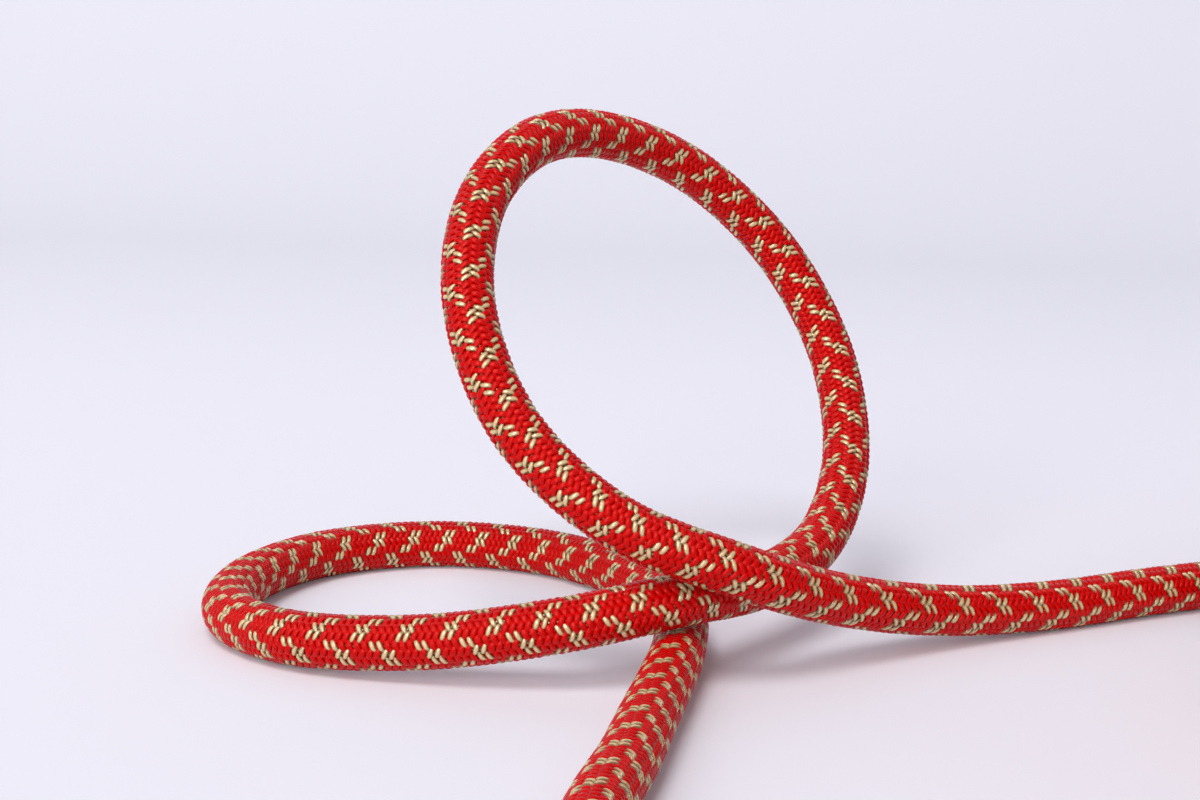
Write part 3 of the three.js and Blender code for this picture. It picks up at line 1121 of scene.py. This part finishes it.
@dataclass
class RopeEnd:
    """A finished end: a sleeve shrunk on the rope, and the fused tip past the cut.

    Both are modelled straight, with the cut face at height 0 and the rope above it, and are
    then laid along the rope.
    """

    line: Line
    end: End
    sleeve_start: float = 0.3  # how far behind the cut face the sleeve starts
    sleeve_length: float = 28.0
    sleeve_radius: float = 5.9
    sleeve_wall: float = 0.7
    sleeve_rim: float = 0.22  # the rounding of its rims
    sleeve_sides: int = 72
    sleeve_steps: int = 40  # rings of faces
    relief: float = 0.06  # of the braid that shows through it
    print_waves: Pair = (9, 0.7)  # round the sleeve, and radians a millimetre along
    tip_length: float = 3.3  # past the cut face
    # Its width and its depth, as shares of the rope's and of the tip's length.
    tip_profile: tuple[Pair, ...] = (
        (1.0, 0.6), (1.0, 0.72), (0.96, 0.9), (0.86, 1.0), (0.62, 0.97), (0.3, 0.88),
    )
    tip_sides: int = 48
    ripple_size: float = 1.8
    ripple_height: float = 0.35
    ripple_level: float = 0.75  # the noise level at which the face stays where it is

    def _lay(self, piece: Piece) -> None:
        """Move a straight piece's vertices onto the end of the rope.

        Args:
            piece: The piece.
        """
        local = vertex_places(piece.data)
        near = self.end is End.NEAR
        at = local[:, 2] if near else self.line.length - local[:, 2]
        held = np.clip(at, 0.0, self.line.length)
        tangent, normal, third = self.line.frames(held)
        laid = (
            self.line.place(held)
            + tangent * (at - held)[:, None]
            + normal * local[:, :1]
            + third * local[:, 1:2] * (1.0 if near else -1.0)
        )
        piece.data.vertices.foreach_set("co", (laid * MM).ravel())
        piece.data.update()

    def _sleeve(self) -> Piece:
        """Draw a ring out into a tube, give it its wall and soften its rims.

        Returns:
            The sleeve.
        """
        name = f"shrunk_sleeve_{self.end.value}"
        with drawn_ring(name, self.sleeve_sides, self.sleeve_radius) as piece:
            bpy.ops.transform.translate(value=(0, 0, self.sleeve_start * MM))
            for _ in range(self.sleeve_steps):
                extrude(0, self.sleeve_length / self.sleeve_steps)
        waves, pace = self.print_waves
        for vertex in piece.data.vertices:
            around = math.atan2(vertex.co.y, vertex.co.x) * waves
            along = vertex.co.z / MM * pace
            print_through = math.cos(around + along) * math.cos(around - along)
            swell = 1 + self.relief * print_through / self.sleeve_radius
            vertex.co.x *= swell
            vertex.co.y *= swell
        middle = (0, 0, self.sleeve_start + self.sleeve_length / 2)
        thicken(piece, middle, self.sleeve_wall, self.sleeve_rim, side=-1.0)
        self._lay(piece)
        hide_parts(f"{self.end.value}_end_sleeve")
        return put(piece, SHRINK.material())

    def _tip(self) -> Piece:
        """Draw a disc out past the cut, round it over, and let its face sink and ripple.

        Returns:
            The tip.
        """
        with drawn_ring(f"fused_tip_{self.end.value}", self.tip_sides, ROPE_RADIUS) as piece:
            bpy.ops.mesh.edge_face_add()
            depth, size = 0.0, 1.0
            for wide, deep in self.tip_profile:
                extrude(0, (depth - deep) * self.tip_length)
                bpy.ops.transform.resize(value=(wide / size, wide / size, 1))
                depth, size = deep, wide
            bpy.ops.mesh.select_all(action="SELECT")
            bpy.ops.mesh.normals_make_consistent(inside=False)
        ripple = bpy.data.textures.new("melt_ripple", "CLOUDS")
        ripple.noise_scale = self.ripple_size * MM
        finer = piece.modifiers.new("finer", "SUBSURF")
        finer.levels = finer.render_levels = 1
        melt = piece.modifiers.new("melt", "DISPLACE")
        melt.texture = ripple
        melt.strength = self.ripple_height * MM
        melt.mid_level = self.ripple_level
        melt.texture_coords = "LOCAL"
        apply_modifiers(piece)
        for vertex in piece.data.vertices:
            vertex.co.z = min(vertex.co.z, 0.0)
        self._lay(piece)
        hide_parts(f"{self.end.value}_end_tip")
        return put(piece, FUSED.material())

    def build(self) -> list[Piece]:
        """Make the sleeve and the tip."""
        return [self._sleeve(), self._tip()]


# ---------------- the coil


@dataclass
class CoilTurns:
    """The turns of the coil in nine flat layers, and the tail that lies on them.

    Each layer runs in or out by one column at a time. It moves over in one sector of the
    circle, and climbs to the next layer in the sector just before.
    """

    start: Point  # where the free stretch ends, in millimetres
    radius: float = 105.0  # the outermost turns' radius
    layers: int = 9
    columns: int = 7  # turns in a layer
    layer_pitch: float = 10.4
    column_pitch: float = 10.6
    bottom: float = 6.5  # the lowest layer's height
    start_angle: float = 100.0  # of the first turn, in degrees round the coil
    lead_in: float = 10.3  # how far past the free stretch that is
    climb_start: float = 130.0  # where the rope climbs onto the top layer
    climb_angle: float = 60.0  # how far round it climbs
    climb_height: float = 11.5
    tail: float = 46.0  # its last straight piece
    shift_width: float = 84.0  # how far round it moves over to the next column
    rise_width: float = 60.0  # how far round it climbs to the next layer
    last_shift: float = 52.0  # the travel at which the last layer moves over
    shift_step: float = 27.0  # how much later each layer before it does
    after_rise: float = 1.0  # how soon after a climb's middle it may move over
    bulge: float = 1.4  # how far it stands out where it climbs
    sides: int = 12
    step: float = 4.0  # degrees from one point to the next
    tail_steps: tuple[int, int] = (12, 8)  # points on the last climb and on the tail
    lead: float = 26.85  # the length in which the braid's yarns make a turn

    def _heading(self, angle: float) -> Rows:
        """The way the rope runs at an angle round the coil, in degrees."""
        return polar(1.0, angle - 90.0, 0.0)

    def centre(self) -> Rows:
        """The coil's middle, from where the free stretch ends."""
        foot = np.array(self.start) + self._heading(self.start_angle) * self.lead_in
        return foot - polar(self.radius, self.start_angle, 0.0)

    def _events(self) -> tuple[list[Pair], list[Pair], float]:
        """Lay out where the rope shifts over and where it climbs.

        Returns:
            The shifts as (travel, change of column), the climbs as (travel, bulge side) and
            the travel at which the last climb starts, all in degrees of travel.
        """
        shifts, rises = [], []
        travel = 0.0
        for layer in range(self.layers):
            place = (self.last_shift + self.shift_step * (self.layers - 1 - layer)) % 360
            first = travel + (place - travel) % 360
            inward = 1.0 if layer % 2 == 0 else -1.0
            shifts += [(first + 360 * i, inward) for i in range(self.columns - 1)]
            last = first + 360 * (self.columns - 2)
            if layer < self.layers - 1:
                travel = last + 360 - self.shift_step / 2
                rises.append((travel, -inward))
                travel += self.after_rise
        climb = (self.start_angle - self.climb_start) % 360
        return shifts, rises, last + (climb - last) % 360

    def line(self) -> Line:
        """Follow the rope through every turn.

        Returns:
            Its middle line, from the free stretch's end to the far end.
        """
        shifts, rises, end = self._events()
        travel = np.arange(0.0, end + self.step / 2, self.step)
        column, level, out = (np.zeros_like(travel) for _ in range(3))
        for at, change in shifts:
            column += change * smoothstep(np.clip((travel - at) / self.shift_width + 0.5, 0, 1))
        for at, side in rises:
            share = np.clip((travel - at) / self.rise_width + 0.5, 0, 1)
            level += smoothstep(share)
            out += side * self.bulge * np.sin(share * math.pi) ** 2
        radius = self.radius - column * self.column_pitch + out
        height = self.bottom + level * self.layer_pitch
        turns = polar(radius, self.start_angle - travel, height)
        inner = self.radius - (self.columns - 1) * self.column_pitch
        share, reach = (np.linspace(0, 1, steps + 1)[1:] for steps in self.tail_steps)
        lift = height[-1] + self.climb_height * smoothstep(share)
        climb = polar(inner, self.climb_start - share * self.climb_angle, lift)
        heading = self._heading(self.climb_start - self.climb_angle)
        tail = climb[-1] + heading * reach[:, None] * self.tail
        middle = self.centre() * np.array([1.0, 1.0, 0.0])
        return Line(np.vstack([self.start, np.vstack([turns, climb, tail]) + middle]))

    def build(self, ends: Sequence[Piece]) -> None:
        """Args:
            ends: The pieces on its far end. Not used.
        """
        line = self.line()
        side = unit(np.cross(line.tangent, (0.0, 0.0, 1.0)))
        half_axes = side * ROPE_RADIUS, np.cross(line.tangent, side) * ROPE_RADIUS
        rings = ring_corners(line.points, *half_axes, corner_angles(self.sides))
        piece = Shell.tube(rings, line.along / self.lead).to_object("coil_turns", "braid")
        put(piece, COIL_BRAID.material())
        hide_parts("coil_outer_turns", "coil_inner_turns")
        LOG.info("coil: %.2f m in its turns", line.length * MM)


@dataclass
class CoilTies:
    """Three straps round the coil. Each one's loose end lies on its start, on the outer side.

    A strap is modelled upright, with its width along X, the coil's middle at the origin and
    the strap out along Y, and is then turned to its place.
    """

    coil: CoilTurns
    angles: tuple[float, ...] = (144.0, 255.0, 6.0)  # in degrees round the coil
    low: Pair = (35.1, 1.2)  # the inner face's low corner, as distance out and height
    high: Pair = (110.3, 95.0)  # its high corner
    corner: float = 4.5
    corner_steps: int = 7
    wall: float = 1.14
    rim: float = 0.3  # the rounding of its edges
    width: float = 14.0
    cells: int = 6  # across the strap
    cell_length: float = 1.7
    overlap: float = 40.0  # of its loose end on its start
    lap_rise: float = 6.0  # the length in which the loose end rises onto the start
    lap_bend: float = 0.4  # the share of the wall that it has risen halfway
    lap_gap: float = 0.06  # the gap between the two
    lap_cells: int = 20  # of the loose end, where the stitches lie
    dip: float = 0.35  # how far it sinks between two turns
    weave: Pair = (1.75, 2.2)  # two yarns' size, across and along
    stitch_length: float = 2.2
    stitch_gap: float = 0.8
    stitch_radius: float = 0.24
    stitch_end: float = 0.16  # the rounding of its ends
    stitch_margin: float = 1.8  # from the loose end's border
    stitch_sink: float = 0.02  # how deep their middle lies
    outline: Rows = field(init=False)  # as distance out and height

    def __post_init__(self) -> None:
        """Run the strap's inner face from its start, round the coil and over its start."""
        (r0, z0), (r1, z1) = self.low, self.high
        c = self.corner
        middle = (z0 + z1) / 2
        top, foot = middle + self.overlap / 2, middle - self.overlap / 2
        rough = [(r1, top)]
        centres = ((r1 - c, z0 + c), (r0 + c, z0 + c), (r0 + c, z1 - c), (r1 - c, z1 - c))
        for quarter, (out, height) in enumerate(centres):
            for turn in np.radians(-90 * (quarter + np.linspace(0, 1, self.corner_steps + 1))):
                rough.append((out + c * math.cos(turn), height + c * math.sin(turn)))
        over = r1 + self.wall + self.lap_gap
        halfway = (r1 + self.lap_bend * self.wall, top + self.lap_rise / 2)
        given = np.array([*rough, (r1, top + self.lap_rise), halfway, (over, top), (over, foot)])
        reach = distances(given)
        at = np.linspace(0.0, reach[-1], int(reach[-1] / self.cell_length))
        out, height = (np.interp(at, reach, given[:, i]) for i in range(2))
        by_layer = self._sunk((height - self.coil.bottom) / self.coil.layer_pitch)
        by_column = self._sunk((out - self.coil.radius) / self.coil.column_pitch)
        clear = 1.5 * c
        upright = (height > z0 + clear) & (height < z1 - clear)
        above = (out > r0 + clear) & (out < r1 - clear) & (height > middle)
        out = out - upright * by_layer * np.sign(out - (r0 + r1) / 2)
        self.outline = np.stack([out, height - above * by_column], axis=1)

    def _sunk(self, turns: Rows) -> Rows:
        """How far the strap sinks at so many turns from the first, most between two of them."""
        return self.dip * (0.5 - 0.5 * np.cos(turns * math.tau))

    def _strap(self) -> Piece:
        """Draw a plane's edge out along the outline, then give the strap its thickness.

        Returns:
            The upright strap.
        """
        bpy.ops.object.select_all(action="DESELECT")
        out, height = self.outline[0].tolist()
        place = (0, out * MM, height * MM)
        bpy.ops.mesh.primitive_plane_add(size=self.width * MM, location=place)
        piece = bpy.context.object
        bpy.ops.object.transform_apply(location=True)
        for vertex in piece.data.vertices:
            vertex.select = vertex.co.y > place[1]
        for edge in piece.data.edges:
            edge.select = all(piece.data.vertices[i].select for i in edge.vertices)
        for polygon in piece.data.polygons:
            polygon.select = False
        bpy.ops.object.mode_set(mode="EDIT")
        bpy.ops.mesh.delete(type="VERT")
        bpy.ops.mesh.select_all(action="SELECT")
        bpy.ops.transform.translate(value=(0, self.width / 2 * MM, 0))
        bpy.ops.mesh.subdivide(number_cuts=self.cells - 1)
        for step in np.diff(self.outline, axis=0).tolist():
            extrude(*step)
        bpy.ops.object.mode_set(mode="OBJECT")
        self._lay_weave(piece.data)
        thicken(piece, (0, *self.outline.mean(axis=0)), self.wall, self.rim, side=1.0)
        return piece

    def _lay_weave(self, mesh: bpy.types.Mesh) -> None:
        """Give the strap a UV map that follows it, for the weave.

        Args:
            mesh: The strap's mesh.
        """
        places = vertex_places(mesh)
        nearest = np.linalg.norm(places[:, None, 1:] - self.outline, axis=2).argmin(axis=1)
        reach = distances(self.outline)[nearest]
        values = np.stack([places[:, 0] / self.weave[0], reach / self.weave[1]], axis=1)
        corner = np.empty(len(mesh.loops), int)
        mesh.loops.foreach_get("vertex_index", corner)
        for layer in list(mesh.uv_layers):
            mesh.uv_layers.remove(layer)
        for name in ("weave", BAKE_MAP):
            mesh.uv_layers.new(name=name).data.foreach_set("uv", values[corner].ravel())

    def _seats(self) -> Iterator[Matrix]:
        """Go through the stitches round the border of the loose end.

        Yields:
            Each stitch's place and turn, in metres.
        """
        loose = self.outline[-self.lap_cells :][::-1]
        middle = (self.low[1] + self.high[1]) / 2
        wide = self.width / 2 - self.stitch_margin
        tall = self.overlap / 2 - self.stitch_margin
        for span, aside, upright in ((tall, wide, True), (wide, tall, False)):
            turn = Matrix.Rotation(0.0 if upright else math.pi / 2, 4, "Y")
            count = max(1, round(2 * span / (self.stitch_length + self.stitch_gap)))
            for fixed in (aside, -aside):
                for i in range(count):
                    at = -span + (i + 0.5) * 2 * span / count
                    x, z = (fixed, middle + at) if upright else (at, middle + fixed)
                    out = float(np.interp(z, loose[:, 1], loose[:, 0])) + self.wall
                    yield Matrix.Translation(Vector((x, out - self.stitch_sink, z)) * MM) @ turn

    def _stitches(self) -> Piece:
        """Sew a row of stitches round the border of the loose end.

        Returns:
            The stitches of the upright strap, in one piece.
        """
        bpy.ops.object.select_all(action="DESELECT")
        sizes = {"radius": self.stitch_radius * MM, "depth": self.stitch_length * MM}
        bpy.ops.mesh.primitive_cylinder_add(vertices=6, **sizes)
        stitch = bpy.context.object
        soften(stitch, self.stitch_end, segments=1, angle=80)
        apply_modifiers(stitch)
        vertices, faces = [], []
        for seat in self._seats():
            start = len(vertices)
            vertices += [tuple(seat @ vertex.co) for vertex in stitch.data.vertices]
            faces += [[start + i for i in face.vertices] for face in stitch.data.polygons]
        mesh = bpy.data.meshes.new("stitch_pattern")
        mesh.from_pydata(vertices, [], faces)
        bpy.data.objects.remove(stitch)
        return link("stitch_pattern", mesh)

    def build(self) -> None:
        """Model one strap and its stitches, and put a copy of both at each place."""
        strap, stitches = self._strap(), self._stitches()
        weave, thread = STRAP.material(), STITCH.material()
        middle = self.coil.centre()
        for i, angle in enumerate(self.angles):
            turn = Matrix.Rotation(math.radians(angle - 90), 4, "Z")
            move = Matrix.Translation(Vector((middle[0], middle[1], 0.0)) * MM)
            for pattern, name, finish in (
                (strap, f"tie_strap_{i + 1}", weave),
                (stitches, f"tie_stitching_{i + 1}", thread),
            ):
                made = link(name, pattern.data.copy())
                made.data.name = name
                made.data.transform(move @ turn)
                put(made, finish)
            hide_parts(f"coil_tie_{i + 1}")
        for pattern in (strap, stitches):
            bpy.data.objects.remove(pattern)


# ---------------- the studio


@dataclass(frozen=True)
class Studio:
    """A pale floor that curves up into a backdrop, a lamp above, one in front and a soft fill.

    The studio's sizes are in metres.
    """

    tone: Colour = srgb(231, 230, 238)  # the floor's and the backdrop's own colour
    glow: float = 0.13  # what the far floor gives off, so that the paper looks even
    glow_from: Pair = (-0.35, 0.45)  # where the lift starts, and where it is whole
    fill: float = 0.37  # the strength of the light from all round
    paleness: float = 0.88  # how bright that surround looks to the camera
    surround: Colour = srgb(244, 244, 252)
    half_width: float = 3.0
    front: float = -2.5  # where the floor starts
    back: float = 0.9  # where it starts to curve up
    bend: float = 0.6  # the radius of the curve
    bend_steps: int = 12
    top: float = 2.6
    sink: float = 0.00002  # how far the floor lies below the rope
    aim: Point = (-0.1, 0.05, 0.03)  # where the lamps point
    # Each lamp's name, place, size and power in watts.
    lamps: tuple[tuple[str, Point, float, float], ...] = (
        ("lamp_over", (-0.58, -1.11, 1.96), 0.95, 26.0),
        ("lamp_front", (-1.46, -2.89, 1.34), 1.6, 62.0),
    )

    def _sweep(self) -> None:
        """Make the floor and backdrop as one curved sheet."""
        profile = [(self.front, 0.0)]
        for i in range(self.bend_steps + 1):
            angle = math.radians(90 * i / self.bend_steps)
            profile.append((self.back + self.bend * math.sin(angle), self.bend * (1 - math.cos(angle))))
        profile.append((self.back + self.bend, self.top))
        sides = (-self.half_width, self.half_width)
        vertices = [(x, y, z - self.sink) for y, z in profile for x in sides]
        faces = [(i, i + 1, i + 3, i + 2) for i in range(0, len(vertices) - 2, 2)]
        mesh = bpy.data.meshes.new("studio_sweep")
        mesh.from_pydata(vertices, [], faces)
        mesh.polygons.foreach_set("use_smooth", [True] * len(faces))
        mesh.materials.append(self._paper())
        link("studio_sweep", mesh)

    def _paper(self) -> Material:
        """Build the paper, which glows a little for the camera where the lamps fall off.

        Returns:
            The material.
        """
        graph = Finish("studio_paper").graph()
        limits = dict(enumerate((graph.part(graph.spot(), 1), *self.glow_from, 0.0, self.glow)))
        far = graph.node("ShaderNodeMapRange", limits, interpolation_type="SMOOTHSTEP")
        seen = graph.node("ShaderNodeLightPath", {}, "Is Camera Ray")
        graph.set(
            Base_Color=self.tone,
            Roughness=0.9,
            Specular_IOR_Level=0.1,
            Emission_Color=self.tone,
            Emission_Strength=far * seen,
        )
        return graph.owner

    def _lamp(self, name: str, place: Sequence[float], size: float, power: float) -> None:
        """Hang one square lamp and point it at the rope.

        Args:
            name: Its name.
            place: Where it hangs.
            size: Its side.
            power: Its power, in watts.
        """
        data = bpy.data.lights.new(name, "AREA")
        data.shape = "SQUARE"
        data.size = size
        data.energy = power
        turn = (Vector(self.aim) - Vector(place)).to_track_quat("-Z", "Y")
        link(name, data).matrix_world = Matrix.Translation(place) @ turn.to_matrix().to_4x4()

    def _world(self) -> None:
        """Light softly from all round, and show as pale as the paper past its edges."""
        world = bpy.data.worlds.new("studio_world")
        world.use_nodes = True
        graph = Graph(world, "Background")
        seen = graph.node("ShaderNodeLightPath", {}, "Is Camera Ray")
        graph.set(Color=self.surround, Strength=seen * (self.paleness - self.fill) + self.fill)
        bpy.context.scene.world = world

    def build(self) -> None:
        """Set the floor, the lamps and the world."""
        self._sweep()
        for lamp in self.lamps:
            self._lamp(*lamp)
        self._world()
        bpy.context.scene.view_settings.view_transform = "Standard"


def main() -> None:
    """Build the camera, the cords and everything on them, in that order."""
    logging.basicConfig(level=logging.INFO, format="%(name)s: %(message)s")
    PhotoCamera().build()
    line = Line(smooth_points(ROUTE, ROUTE_STEPS))
    braid = BraidedStretch(line).build()
    near = RopeEnd(line, End.NEAR).build()
    inside = Core(line).build()
    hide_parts("woven_sheath")
    (line.place(np.linspace(0, line.length, PATH_POINTS)) * MM).tolist()
    LOG.info("free stretch: %.3f m", line.length * MM)
    coil = CoilTurns(start=ROUTE[-1])
    coil.build(RopeEnd(coil.line(), End.FAR).build())
    CoilTies(coil).build()
    Studio().build()


if __name__ == "__main__":
    main()
